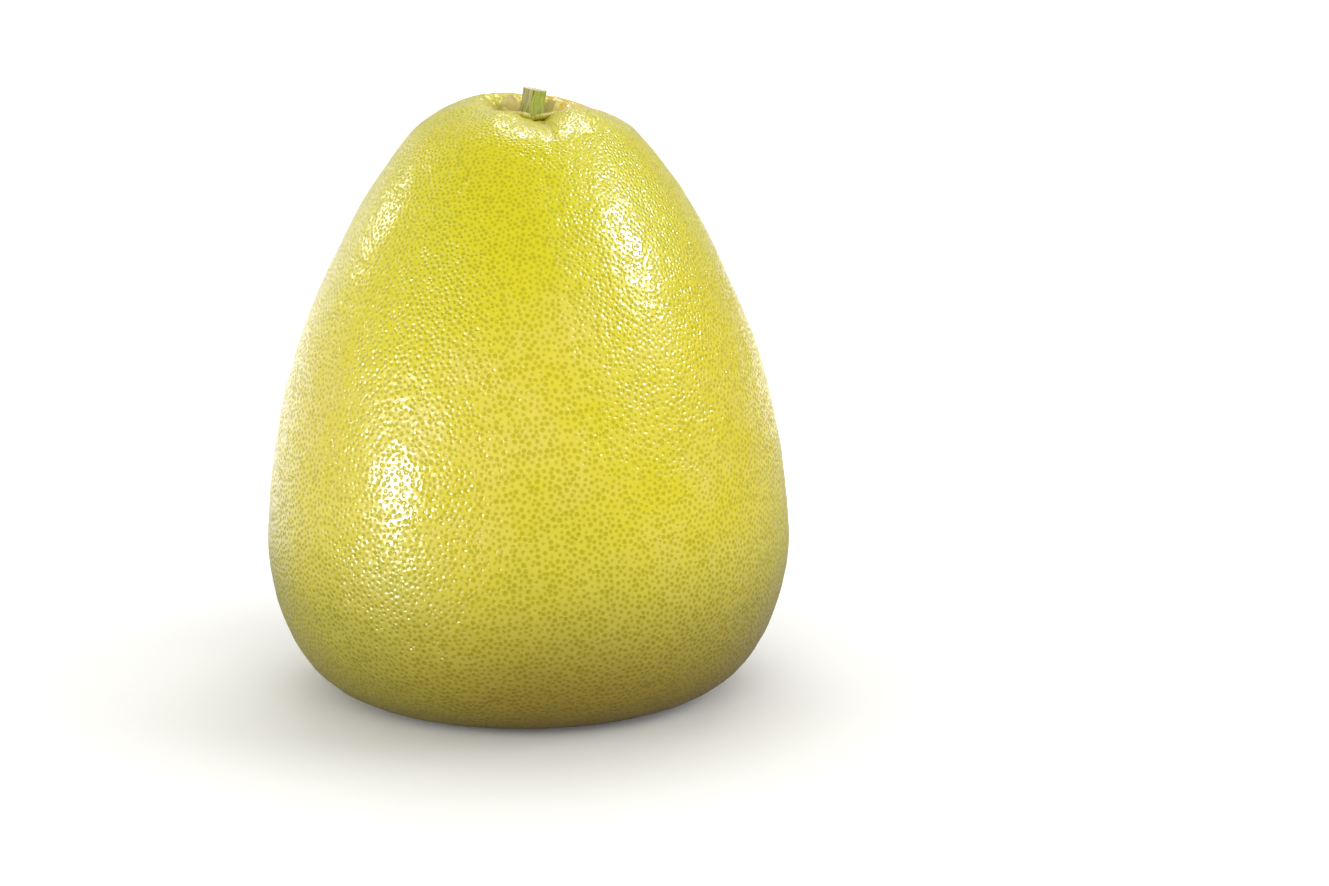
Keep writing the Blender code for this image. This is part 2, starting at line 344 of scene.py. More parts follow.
def gland_places():
    """The glands' places on the map: spread evenly by the golden angle, shifted at random, and then
    each moved to the middle of its neighbours once, apart from the few at the middle of the base."""
    spacing = np.interp(OUTLINE_ARC, *zip(*GLAND_SPACING_MM))
    crowd = np.maximum(OUTLINE[:, 0], 0.0) / spacing**2
    steps = np.diff(OUTLINE_ARC) * 0.5 * (crowd[1:] + crowd[:-1])
    filled = np.concatenate([[0.0], np.cumsum(steps)]) / steps.sum()
    count = np.arange(GLANDS)
    arc = np.interp((count + 0.5) / GLANDS, filled, OUTLINE_ARC)
    radius = np.interp(arc, OUTLINE_ARC, OUTLINE[:, 0])
    draw = np.random.default_rng(SEED)
    shift = GLAND_SHIFT * np.interp(arc, *zip(*GLAND_SPACING_MM))
    arc = arc + shift * draw.uniform(-1.0, 1.0, GLANDS)
    turn = count * GOLDEN_ANGLE + shift * draw.uniform(-1.0, 1.0, GLANDS) / np.maximum(radius, 1.0)
    points = to_map(np.clip(arc, POLE_MARGIN_MM, OUTLINE_ARC[-1] - POLE_MARGIN_MM), turn)
    triangles = triangulate(points)
    total = np.zeros_like(points)
    neighbours = np.zeros(GLANDS)
    for start, end in ((0, 1), (1, 2), (2, 0), (1, 0), (2, 1), (0, 2)):
        np.add.at(total, triangles[:, start], points[triangles[:, end]])
        np.add.at(neighbours, triangles[:, start], 1)
    inner = np.hypot(points[:, 0], points[:, 1]) < math.exp(MAP_LOG[-1] - MAP_EDGE)
    points[inner] = (total / neighbours[:, None])[inner]
    return points


def new_object(name, vertices, faces):
    """A smooth-shaded object at the origin, with its place in its mesh."""
    mesh = bpy.data.meshes.new(name)
    mesh.from_pydata(vertices.tolist(), [], faces)
    mesh.shade_smooth()
    obj = bpy.data.objects.new(name, mesh)
    bpy.context.scene.collection.objects.link(obj)
    return obj


def add_attribute(obj, name, kind, values):
    """Stores one value, or one vector, for each vertex of the object's mesh."""
    attribute = obj.data.attributes.new(name, kind, "POINT")
    key = "vector" if kind == "FLOAT_VECTOR" else "value"
    attribute.data.foreach_set(key, np.asarray(values, np.float32).ravel())


def rind_mesh():
    """The rind as one closed skin: each gland is a fan of triangles round its middle, and the corners
    of the fans are the middles of the triangles between neighbouring glands."""
    places = gland_places()
    triangles = triangulate(places)
    gland_arc, gland_turn = from_map(places)
    corner_arc, corner_turn = from_map(places[triangles].mean(axis=1))
    glands = body_points(gland_arc, gland_turn)
    corners = body_points(corner_arc, corner_turn)

    # The hole in the middle of the base is closed with one more point.
    start = triangles.ravel()
    end = np.roll(triangles, -1, axis=1).ravel()
    here = set(zip(start.tolist(), end.tolist()))
    edge = [(b, a) for a, b in here if (b, a) not in here]
    edge.sort()
    pole = len(glands)
    glands = np.vstack([glands, [[0.0, 0.0, 0.0]]])
    closing = np.array([(a, b, pole) for a, b in edge])
    corners = np.vstack([corners, glands[closing].mean(axis=1)])
    triangles = np.vstack([triangles, closing])

    # Each side of each triangle becomes a face: a gland and the corners on both sides of that side.
    start = triangles.ravel()
    end = np.roll(triangles, -1, axis=1).ravel()
    own = np.repeat(np.arange(len(triangles)), 3)
    key = start * len(glands) + end
    order = np.argsort(key)
    across = own[order[np.searchsorted(key[order], end * len(glands) + start)]]
    faces = np.stack([start, len(glands) + across, len(glands) + own], axis=1)

    # What the relief and the material need to know at each point.
    skin = new_object("rind_skin", np.vstack([glands, corners]), faces.tolist())
    middle = np.concatenate([np.ones(pole), np.zeros(1 + len(corners))])
    add_attribute(skin, "gland", "FLOAT", middle)
    base = np.full(1 + len(closing), OUTLINE_ARC[-1])
    arc = np.concatenate([gland_arc, base[:1], corner_arc, base[1:]])
    add_attribute(skin, "spacing", "FLOAT", MM * np.interp(arc, *zip(*GLAND_SPACING_MM)))
    x, y, z = np.array([vertex.co for vertex in skin.data.vertices]).T / MM
    paleness = patches(PALE_PATCHES_MM, z, np.hypot(x, y), np.arctan2(y, x))
    add_attribute(skin, "paleness", "FLOAT", paleness)
    aside = np.hypot(x - DIP_CENTRE_MM[0], y - DIP_CENTRE_MM[1])
    on_top = smoothstep(z, *DIP_PALE_HEIGHTS_MM)
    in_dip = on_top * (1.0 - smoothstep(aside, *DIP_PALE_RADII_MM))
    add_attribute(skin, "dip", "FLOAT", DIP_PALENESS * in_dip)
    warmth = on_top * patches([WARM_PATCH_MM], z, aside, np.arctan2(y, x))
    add_attribute(skin, "warmth", "FLOAT", warmth)
    return skin


def new_tree(name, values):
    """A Geometry Nodes tree with a named input for each value."""
    tree = bpy.data.node_groups.new(name, "GeometryNodeTree")
    tree.interface.new_socket("Geometry", in_out="OUTPUT", socket_type="NodeSocketGeometry")
    tree.interface.new_socket("Geometry", in_out="INPUT", socket_type="NodeSocketGeometry")
    for key, value in values.items():
        kind = "NodeSocketInt" if isinstance(value, int) else "NodeSocketFloat"
        if isinstance(value, bpy.types.Material):
            kind = "NodeSocketMaterial"
        tree.interface.new_socket(key, in_out="INPUT", socket_type=kind)
    return tree


def within_ring(tree, value, radius, ring):
    """The value, faded in and out again at the ring's four radii, which are in millimetres."""
    start, full, wane, end = (MM * at for at in ring)
    for low, high, least, most in ((start, full, 0.0, 1.0), (wane, end, 1.0, 0.0)):
        fade = add_node(
            tree,
            "ShaderNodeMapRange",
            {"Value": radius, "From Min": low, "From Max": high, "To Min": least, "To Max": most},
            interpolation_type="SMOOTHSTEP",
        )
        value = add_node(tree, "ShaderNodeMath", {0: value, 1: fade}, operation="MULTIPLY")
    return value


def apply_tree(obj, tree, values):
    """Runs a Geometry Nodes tree on the object and leaves a plain mesh."""
    modifier = obj.modifiers.new(tree.name, "NODES")
    modifier.node_group = tree
    for item in tree.interface.items_tree:
        if item.in_out == "INPUT" and item.name in values:
            modifier[item.identifier] = values[item.name]
    graph = bpy.context.evaluated_depsgraph_get()
    made = bpy.data.meshes.new_from_object(
        obj.evaluated_get(graph), preserve_all_data_layers=True, depsgraph=graph
    )
    obj.modifiers.remove(modifier)
    plain = obj.data
    obj.data = made
    bpy.data.meshes.remove(plain)
    made.name = obj.name


def relief_tree(values):
    """The rind's relief: lumps and ripples over the whole skin, pleats round the dip, the furrow that
    runs down from the dip's front notch, and a pit at each gland. It also notes each gland's middle
    and a number drawn for it on the gland's faces, for the rind's material."""
    tree = new_tree("rind_relief", values)
    given = tree.nodes.new("NodeGroupInput").outputs
    place = add_node(tree, "GeometryNodeInputPosition")
    normal = add_node(tree, "GeometryNodeInputNormal")

    # Lumps and ripples.
    rise = None
    layers = (("Lump height", "Lump size", 1.0), ("Ripple height", "Ripple size", 2.0))
    for height, size, detail in layers:
        closeness = add_node(tree, "ShaderNodeMath", {0: 1.0, 1: given[size]}, operation="DIVIDE")
        noise = add_node(
            tree,
            "ShaderNodeTexNoise",
            {"Vector": place, "W": given["Seed"], "Scale": closeness, "Detail": detail},
            noise_dimensions="4D",
        )
        level = add_node(tree, "ShaderNodeMath", {0: noise, 1: 0.5}, operation="SUBTRACT")
        level = add_node(tree, "ShaderNodeMath", {0: level, 1: given[height]}, operation="MULTIPLY")
        rise = level if rise is None else add_node(tree, "ShaderNodeMath", {0: rise, 1: level})

    # Distance and turn about the middle of the dip.
    centred = add_node(
        tree,
        "ShaderNodeVectorMath",
        {0: place, 1: (DIP_CENTRE_MM[0] * MM, DIP_CENTRE_MM[1] * MM, 0.0)},
        operation="SUBTRACT",
    )
    flat = add_node(tree, "ShaderNodeVectorMath", {0: centred, 1: (1.0, 1.0, 0.0)}, operation="MULTIPLY")
    radius = add_node(tree, "ShaderNodeVectorMath", {0: flat}, "Value", operation="LENGTH")
    split = add_node(tree, "ShaderNodeSeparateXYZ", {0: centred}).node.outputs
    turn = add_node(tree, "ShaderNodeMath", {0: split["Y"], 1: split["X"]}, operation="ARCTAN2")
    on_top = add_node(
        tree,
        "ShaderNodeMapRange",
        {"Value": split["Z"], "From Min": MM * TOP_HEIGHTS_MM[0], "From Max": MM * TOP_HEIGHTS_MM[1]},
        interpolation_type="SMOOTHSTEP",
    )

    # Pleats that run down into the dip, swung from side to side about every 11 mm.
    bend = add_node(tree, "ShaderNodeTexNoise", {"Vector": place, "Scale": 90.0, "Detail": 1.0})
    swing = add_node(tree, "ShaderNodeMath", {0: bend, 1: PLEAT_SWING}, operation="MULTIPLY")
    phase = add_node(
        tree, "ShaderNodeMath", {0: turn, 1: given["Pleats"], 2: swing}, operation="MULTIPLY_ADD"
    )
    pleat = add_node(tree, "ShaderNodeMath", {0: phase}, operation="SINE")
    pleat = within_ring(tree, pleat, radius, PLEAT_RING_MM)
    pleat = add_node(tree, "ShaderNodeMath", {0: pleat, 1: given["Pleat height"]}, operation="MULTIPLY")
    rise = add_node(tree, "ShaderNodeMath", {0: pleat, 1: on_top, 2: rise}, operation="MULTIPLY_ADD")

    # The furrow, which falls away to both sides as a bell curve does.
    gap = add_node(tree, "ShaderNodeMath", {0: turn, 1: given["Furrow turn"]}, operation="SUBTRACT")
    aside = add_node(tree, "ShaderNodeMath", {0: gap, 1: radius}, operation="MULTIPLY")
    aside = add_node(tree, "ShaderNodeMath", {0: aside, 1: given["Furrow width"]}, operation="DIVIDE")
    aside = add_node(tree, "ShaderNodeMath", {0: aside, 1: 2.0}, operation="POWER")
    aside = add_node(tree, "ShaderNodeMath", {0: aside, 1: -1.0}, operation="MULTIPLY")
    furrow = add_node(tree, "ShaderNodeMath", {0: aside}, operation="EXPONENT")
    furrow = within_ring(tree, furrow, radius, FURROW_RING_MM)
    furrow = add_node(tree, "ShaderNodeMath", {0: furrow, 1: given["Furrow depth"]}, operation="MULTIPLY")
    furrow = add_node(tree, "ShaderNodeMath", {0: furrow, 1: on_top}, operation="MULTIPLY")
    rise = add_node(tree, "ShaderNodeMath", {0: rise, 1: furrow}, operation="SUBTRACT")

    # The pits, and all of it moved along the skin's normal, except where the skin rests on the table.
    off_table = add_node(
        tree,
        "ShaderNodeMapRange",
        {"Value": split["Z"], "From Min": MM * TABLE_HEIGHTS_MM[0], "From Max": MM * TABLE_HEIGHTS_MM[1]},
        interpolation_type="SMOOTHSTEP",
    )
    gland = add_node(tree, "GeometryNodeInputNamedAttribute", {"Name": "gland"}, data_type="FLOAT")
    pit = add_node(tree, "ShaderNodeMath", {0: gland, 1: given["Pit depth"]}, operation="MULTIPLY")
    rise = add_node(tree, "ShaderNodeMath", {0: rise, 1: pit}, operation="SUBTRACT")
    rise = add_node(tree, "ShaderNodeMath", {0: rise, 1: off_table}, operation="MULTIPLY")
    offset = add_node(tree, "ShaderNodeVectorMath", {0: normal, "Scale": rise}, operation="SCALE")
    shaped = add_node(tree, "GeometryNodeSetPosition", {"Geometry": given["Geometry"], "Offset": offset})

    # Each face starts at its gland, so that its first point is the gland's middle.
    corner = add_node(tree, "GeometryNodeCornersOfFace")
    vertex = add_node(tree, "GeometryNodeVertexOfCorner", {"Corner Index": corner})
    middle = add_node(
        tree,
        "GeometryNodeFieldAtIndex",
        {"Index": vertex, "Value": add_node(tree, "GeometryNodeInputPosition")},
        data_type="FLOAT_VECTOR",
        domain="POINT",
    )
    shaped = add_node(
        tree,
        "GeometryNodeStoreNamedAttribute",
        {"Geometry": shaped, "Name": "gland_middle", "Value": middle},
        data_type="FLOAT_VECTOR",
        domain="FACE",
    )
    drawn = add_node(
        tree, "FunctionNodeRandomValue", {"ID": vertex, "Seed": given["Seed"]}, 1, data_type="FLOAT"
    )
    shaped = add_node(
        tree,
        "GeometryNodeStoreNamedAttribute",
        {"Geometry": shaped, "Name": "gland_draw", "Value": drawn},
        data_type="FLOAT",
        domain="FACE",
    )
    shaped = add_node(tree, "GeometryNodeRealizeInstances", {"Geometry": shaped})
    shaped = add_node(
        tree, "GeometryNodeSetMaterial", {"Geometry": shaped, "Material": given["Material"]}
    )
    add_node(tree, "NodeGroupOutput", {"Geometry": shaped})
    return tree


def make_rind(material):
    """The rind with its relief."""
    skin = rind_mesh()
    values = {
        "Lump height": 0.9 * MM,
        "Lump size": 24.0 * MM,
        "Ripple height": 0.65 * MM,
        "Ripple size": 7.0 * MM,
        "Pleat height": 0.25 * MM,
        "Pleats": 21,
        "Furrow depth": 0.9 * MM,
        "Furrow width": 1.5 * MM,
        "Furrow turn": math.radians(-78.0),
        "Pit depth": 0.1 * MM,
        "Seed": SEED,
        "Material": material,
    }
    apply_tree(skin, relief_tree(values), values)
    return skin


def turned_shell(name, grid):
    """A closed skin over rows of points that run round an axis. The first and last rows are poles."""
    rows, turns = grid.shape[:2]
    points = np.vstack([grid[0, :1], grid[1:-1].reshape(-1, 3), grid[-1, :1]])
    last = len(points) - 1
    faces = []
    for turn in range(turns):
        after = (turn + 1) % turns
        faces.append((0, 1 + turn, 1 + after))
        for row in range(rows - 3):
            here = 1 + row * turns
            below = here + turns
            faces.append((here + turn, below + turn, below + after, here + after))
        here = 1 + (rows - 3) * turns
        faces.append((here + turn, last, here + after))
    return new_object(name, points, faces)


def row_values(values):
    """Takes a value for each point of a grid of rows, and keeps one for each pole."""
    values = np.asarray(values, float)
    tail = values.shape[2:]
    return np.concatenate([values[0, :1], values[1:-1].reshape(-1, *tail), values[-1, :1]])


def calyx_section(turn):
    """The calyx cut through at this turn, from the middle of the socket over the brim to the middle
    of the underside: distance from the axis and height above the seat, in millimetres."""
    nearest = min(CALYX_LOBES, key=lambda lobe: turn_gap(turn, math.radians(lobe[0])) / lobe[1])
    at, half_width, lobe_reach, lobe_rise, slant = nearest
    gap = (turn - math.radians(at) + math.pi) % (2.0 * math.pi) - math.pi
    away = max(-1.0, min(1.0, gap / math.radians(half_width)))
    share = math.sqrt(1.0 - away**4)
    floor = SEAT_GAP_MM + CUP_FLOOR_MM
    lip = CUP_RADIUS_MM + CUP_LIP_MM
    reach = lip + share * (lobe_reach - lip)
    brim = CUP_BRIM_MM + share * (lobe_rise * (1.0 + slant * away) - CUP_BRIM_MM)
    wall = LOBE_WALL_MM * (0.7 + 0.3 * share)
    inner = SOCKET_RADIUS_MM + 0.2
    foot = SEAT_GAP_MM + CUP_FOOT_MM
    return [
        (0.0, floor),
        (SOCKET_RADIUS_MM - 0.25, floor),
        (SOCKET_RADIUS_MM, floor + 0.3),
        (0.5 * inner + 0.5 * (reach - wall), 0.5 * floor + 0.5 * brim),
        (reach - wall, brim - 0.15),
        (reach - 0.45 * wall, brim),
        (reach, brim - 0.4 * wall),
        (0.5 * (CUP_RADIUS_MM + reach) + 0.3, 0.5 * (foot + brim) - 0.5 * wall),
        (CUP_RADIUS_MM, foot),
        (CUP_RADIUS_MM - CUP_FOOT_MM, SEAT_GAP_MM),
        (0.0, SEAT_GAP_MM),
    ]


def make_sepals(material):
    """The calyx: its section laid at each turn, with lengthwise fibres raised on the lobes."""
    shares = np.linspace(0.0, 1.0, CALYX_ROWS)
    grid = np.zeros((CALYX_ROWS, CALYX_TURNS, 3))
    fibre = np.zeros((CALYX_ROWS, CALYX_TURNS, 3))
    rise = np.zeros((CALYX_ROWS, CALYX_TURNS))
    for column in range(CALYX_TURNS):
        turn = 2.0 * math.pi * column / CALYX_TURNS - math.pi
        line = smooth_line(calyx_section(turn), SECTION_STEPS)
        along = lengths_along(line)
        reach = np.interp(shares * along[-1], along, line[:, 0])
        height = np.interp(shares * along[-1], along, line[:, 1])
        ridge = math.sin(47.0 * turn + 2.0 * math.sin(5.0 * turn)) + 0.6 * math.sin(83.0 * turn + 1.0)
        shown = smoothstep(reach, 4.6, 6.2)
        reach = reach + 0.9 * FIBRE_RISE_MM * ridge * shown
        height = height + FIBRE_RISE_MM * ridge * shown
        grid[:, column, 0] = DIP_CENTRE_MM[0] + np.maximum(reach, 0.0) * math.cos(turn)
        grid[:, column, 1] = DIP_CENTRE_MM[1] + np.maximum(reach, 0.0) * math.sin(turn)
        grid[:, column, 2] = SEAT_HEIGHT_MM + height
        fibre[:, column, 0] = math.cos(turn)
        fibre[:, column, 1] = math.sin(turn)
        fibre[:, column, 2] = shares
        rise[:, column] = height
    sepals = turned_shell("sepals", MM * grid)
    add_attribute(sepals, "fibre", "FLOAT_VECTOR", row_values(fibre))
    add_attribute(sepals, "rise", "FLOAT", row_values(rise))
    sepals.data.materials.append(material)
    return sepals


def make_twig(material):
    """The twig: rows up its side, with ribs and fine grooves in the bark, and rows over its cut."""
    foot_height = SEAT_HEIGHT_MM + SEAT_GAP_MM + CUP_FLOOR_MM + SEAT_GAP_MM
    side = [(1.0, level) for level in np.linspace(0.0, 1.0, STEM_ROWS)]
    foot = [(share, 0.0) for share in np.linspace(0.0, 1.0, FOOT_ROWS, endpoint=False)]
    cut = [(share, 1.0) for share in CUT_ROWS]
    rows = foot + side + cut
    turn = np.linspace(-math.pi, math.pi, STEM_TURNS, endpoint=False)
    grid = np.zeros((len(rows), STEM_TURNS, 3))
    fibre = np.zeros((len(rows), STEM_TURNS, 3))
    cut_share = np.zeros((len(rows), STEM_TURNS))
    rib = np.cos(STEM_RIBS * (turn - math.radians(STEM_RIB_TURN)))
    groove = 0.5 * np.sin(41.0 * turn + 1.5 * np.sin(3.0 * turn)) + 0.35 * np.sin(67.0 * turn)
    for row, (share, level) in enumerate(rows):
        radius = STEM_FOOT_RADIUS_MM + level * (STEM_TOP_RADIUS_MM - STEM_FOOT_RADIUS_MM)
        waist = STEM_WAIST_MM * math.sin(math.pi * level)
        radius = radius * (1.0 + STEM_RIB_SHARE * (rib - 1.0)) - waist
        radius = radius + STEM_GROOVE_MM * groove * (1.0 if share == 1.0 else 0.0)
        radius = radius * share
        length = STEM_LENGTH_MM - STEM_CUT_SLOPE * radius * np.cos(turn)
        height = foot_height + length * level
        if level == 1.0:
            pith = 1.0 - float(smoothstep(share, 0.2, 0.34))
            ripple = STEM_GROOVE_MM * np.sin(9.0 * turn) * (1.0 - share) * share
            height = height - PITH_DROP_MM * pith + ripple
        grid[row, :, 0] = DIP_CENTRE_MM[0] + radius * np.cos(turn) + STEM_LEAN_MM * level
        grid[row, :, 1] = DIP_CENTRE_MM[1] + radius * np.sin(turn)
        grid[row, :, 2] = height
        fibre[row, :, 0] = np.cos(turn)
        fibre[row, :, 1] = np.sin(turn)
        fibre[row, :, 2] = level
        cut_share[row] = share if level == 1.0 else 2.0
    twig = turned_shell("twig", MM * grid)
    add_attribute(twig, "fibre", "FLOAT_VECTOR", row_values(fibre))
    add_attribute(twig, "cut_share", "FLOAT", row_values(cut_share))
    twig.data.materials.append(material)
    return twig


def new_material(name):
    """A material with a Principled shader, its node tree and that shader."""
    material = bpy.data.materials.new(name)
    material.use_nodes = True
    return material, material.node_tree, material.node_tree.nodes["Principled BSDF"]


def waxy_citrus_rind():
    """The ripe outer peel of a pomelo, waxy and full of oil glands: each gland is a darker, greener
    dot in a paler net, and the thin wax makes soft, broken highlights."""
    material, tree, shader = new_material("waxy_citrus_rind")
    place = add_node(tree, "ShaderNodeTexCoord", output="Object")

    # How far a point is from its gland's middle, as a share of the gland's reach. The dots' edges
    # waver about every 0.9 mm.
    middle = add_node(tree, "ShaderNodeAttribute", output="Vector", attribute_name="gland_middle")
    draw = add_node(tree, "ShaderNodeAttribute", output="Fac", attribute_name="gland_draw")
    wobble = add_node(
        tree, "ShaderNodeTexNoise", {"Vector": place, "Scale": 1100.0, "Detail": 2.0}, "Color"
    )
    wobble = add_node(tree, "ShaderNodeVectorMath", {0: wobble, 1: (0.5, 0.5, 0.5)}, operation="SUBTRACT")
    wobble = add_node(tree, "ShaderNodeVectorMath", {0: wobble, "Scale": 0.75 * MM}, operation="SCALE")
    bent = add_node(tree, "ShaderNodeVectorMath", {0: place, 1: wobble})
    away = add_node(tree, "ShaderNodeVectorMath", {0: bent, 1: middle}, "Value", operation="DISTANCE")
    spacing = add_node(tree, "ShaderNodeAttribute", output="Fac", attribute_name="spacing")
    reach = add_node(tree, "ShaderNodeMapRange", {"Value": draw, "To Min": 0.27, "To Max": 0.44})
    reach = add_node(tree, "ShaderNodeMath", {0: reach, 1: spacing}, operation="MULTIPLY")
    share = add_node(tree, "ShaderNodeMath", {0: away, 1: reach}, operation="DIVIDE")
    strong = add_node(tree, "ShaderNodeMapRange", {"Value": draw, "To Min": 0.75, "To Max": 1.0})
    dot = add_node(
        tree,
        "ShaderNodeMapRange",
        {"Value": share, "From Min": 0.5, "From Max": 1.25, "To Min": strong, "To Max": 0.0},
        interpolation_type="SMOOTHSTEP",
    )

    # Greener in patches of 45 mm, and greener and darker towards the base, partly the skin's own tone and
    # partly painted shade; paler in patches of 17 mm, yellow-green above the waist, and pale in the dip,
    # with its warm patch.
    height = add_node(tree, "ShaderNodeSeparateXYZ", {0: place}, "Z")
    patch = add_node(
        tree, "ShaderNodeTexNoise", {"Vector": place, "Scale": 22.0, "Detail": 3.0, "Roughness": 0.5}
    )
    # Greener and darker towards the base: partly the skin's tone, partly painted shade.
    low = add_node(
        tree,
        "ShaderNodeMapRange",
        {"Value": height, "From Min": 0.005, "From Max": 0.085, "To Min": 0.55, "To Max": -0.05},
        clamp=True,
    )
    green = add_node(tree, "ShaderNodeMath", {0: patch, 1: 0.6, 2: low}, operation="MULTIPLY_ADD")
    green = add_node(
        tree,
        "ShaderNodeMapRange",
        {"Value": green, "From Min": 0.3, "From Max": 0.85},
        interpolation_type="SMOOTHSTEP",
    )
    bleach = add_node(
        tree, "ShaderNodeTexNoise", {"Vector": place, "Scale": 60.0, "Detail": 5.0, "Roughness": 0.62}
    )
    paleness = add_node(tree, "ShaderNodeAttribute", output="Fac", attribute_name="paleness")
    pale = add_node(tree, "ShaderNodeMath", {0: bleach, 1: 2.4, 2: paleness}, operation="MULTIPLY_ADD")
    upper = add_node(
        tree,
        "ShaderNodeMapRange",
        {"Value": height, "From Min": 0.105, "From Max": 0.145, "To Max": 0.45},
    )
    pale = add_node(tree, "ShaderNodeMath", {0: pale, 1: upper}, operation="SUBTRACT")
    pale = add_node(
        tree,
        "ShaderNodeMapRange",
        {"Value": pale, "From Min": 0.75, "From Max": 1.8},
        interpolation_type="SMOOTHSTEP",
    )
    net = linear("#EADA1E")
    for where, shade in ((pale, "#EFDC54"), (green, "#D6D056"), (upper, "#D8D41E")):
        net = add_node(tree, "ShaderNodeMix", {0: where, 6: net, 7: linear(shade)}, 2, data_type="RGBA")
    dots = linear("#CCBF08")
    for where, shade in ((green, "#AEA81A"), (upper, "#B8B705")):
        dots = add_node(
            tree, "ShaderNodeMix", {0: where, 6: dots, 7: linear(shade)}, 2, data_type="RGBA"
        )
    colour = add_node(tree, "ShaderNodeMix", {0: dot, 6: net, 7: dots}, 2, data_type="RGBA")
    for name, shade in (("dip", "#CFC870"), ("warmth", "#E9C62C")):
        where = add_node(tree, "ShaderNodeAttribute", output="Fac", attribute_name=name)
        colour = add_node(
            tree, "ShaderNodeMix", {0: where, 6: colour, 7: linear(shade)}, 2, data_type="RGBA"
        )

    # Browner and darker towards the base, less so on the left: partly the base's duller skin, partly
    # painted shade where the fruit sits on the table, with less of it on the left.
    dull_and_painted_shade = add_node(
        tree,
        "ShaderNodeMapRange",
        {"Value": height, "From Min": 0.0, "From Max": 0.064, "To Min": 0.85, "To Max": 0.0},
        interpolation_type="SMOOTHSTEP",
    )
    aside = add_node(tree, "ShaderNodeSeparateXYZ", {0: place}, "X")
    aside = add_node(
        tree, "ShaderNodeMapRange", {"Value": aside, "From Min": -0.07, "From Max": 0.0, "To Min": 0.4}
    )
    dull_and_painted_shade = add_node(tree, "ShaderNodeMath", {0: dull_and_painted_shade, 1: aside}, operation="MULTIPLY")
    colour = add_node(
        tree, "ShaderNodeMix", {0: dull_and_painted_shade, 6: colour, 7: linear("#8A6C24")}, 2, data_type="RGBA"
    )
    tree.links.new(colour, shader.inputs["Base Color"])

    rough = add_node(tree, "ShaderNodeMapRange", {"Value": dot, "To Min": 0.3, "To Max": 0.4})
    tree.links.new(rough, shader.inputs["Roughness"])
    shader.inputs["IOR"].default_value = 1.46
    shader.inputs["Specular IOR Level"].default_value = 0.15

    # The wax is thinner over the glands. Each gland is a pit, shallower where glands are smaller, and
    # a grain of 2.4 mm breaks the highlights up.
    wax = add_node(
        tree,
        "ShaderNodeMapRange",
        {"Value": share, "From Min": 0.2, "From Max": 0.7, "To Min": 0.18, "To Max": 0.62},
    )
    tree.links.new(wax, shader.inputs["Coat Weight"])
    shader.inputs["Coat Roughness"].default_value = 0.12
    pit = add_node(
        tree,
        "ShaderNodeMapRange",
        {"Value": share, "From Min": 0.25, "From Max": 1.3, "To Min": -1.0, "To Max": 0.0},
        interpolation_type="SMOOTHSTEP",
    )
    size = add_node(tree, "ShaderNodeMath", {0: spacing, 1: WIDEST_SPACING_MM * MM}, operation="DIVIDE")
    pit = add_node(tree, "ShaderNodeMath", {0: pit, 1: size}, operation="MULTIPLY")
    grain = add_node(
        tree, "ShaderNodeTexNoise", {"Vector": place, "Scale": 420.0, "Detail": 2.0, "Roughness": 0.55}
    )
    relief = add_node(tree, "ShaderNodeMath", {0: grain, 1: 1.9, 2: pit}, operation="MULTIPLY_ADD")
    bump = add_node(tree, "ShaderNodeBump", {"Height": relief, "Distance": 0.15 * MM, "Strength": 1.0})
    tree.links.new(bump, shader.inputs["Normal"])
    tree.links.new(bump, shader.inputs["Coat Normal"])
    return material


def dried_calyx():
    """The calyx of a picked citrus fruit, half dried: olive where it is still alive, pale tan and
    fibrous on the lobes, brown along their edges, and quite matt."""
    material, tree, shader = new_material("dried_calyx")
    fibre = add_node(tree, "ShaderNodeAttribute", output="Vector", attribute_name="fibre")
    rise = add_node(tree, "ShaderNodeAttribute", output="Fac", attribute_name="rise")
    place = add_node(tree, "ShaderNodeTexCoord", output="Object")

    # Strands about 0.3 mm wide, and a mottle of 2.4 mm that makes the drying uneven.
    drawn = add_node(tree, "ShaderNodeVectorMath", {0: fibre, 1: (1.0, 1.0, 0.12)}, operation="MULTIPLY")
    strands = add_node(
        tree, "ShaderNodeTexNoise", {"Vector": drawn, "Scale": 26.0, "Detail": 3.0, "Roughness": 0.6}
    )
    mottle = add_node(tree, "ShaderNodeTexNoise", {"Vector": place, "Scale": 420.0, "Detail": 2.0})
    level = add_node(tree, "ShaderNodeMath", {0: mottle, 1: 2.2, 2: rise}, operation="MULTIPLY_ADD")
    dry = add_node(
        tree,
        "ShaderNodeMapRange",
        {"Value": level, "From Min": 2.6, "From Max": 5.2},
        interpolation_type="SMOOTHSTEP",
    )
    colour = add_node(
        tree, "ShaderNodeMix", {0: dry, 6: linear("#C6C044"), 7: linear("#DCCB6E")}, 2, data_type="RGBA"
    )
    dark_strands = (strands, 0.45, 0.68, 0.6, "#9E9242")
    brown_tips = (level, 6.4, 7.8, 0.35, "#BA9258")
    for source, low, high, most, shade in (dark_strands, brown_tips):
        share = add_node(
            tree,
            "ShaderNodeMapRange",
            {"Value": source, "From Min": low, "From Max": high, "To Max": most},
            interpolation_type="SMOOTHSTEP",
        )
        colour = add_node(
            tree, "ShaderNodeMix", {0: share, 6: colour, 7: linear(shade)}, 2, data_type="RGBA"
        )
    tree.links.new(colour, shader.inputs["Base Color"])
    shader.inputs["Roughness"].default_value = 0.72
    bump = add_node(tree, "ShaderNodeBump", {"Height": strands, "Distance": 0.25 * MM, "Strength": 0.8})
    tree.links.new(bump, shader.inputs["Normal"])
    return material


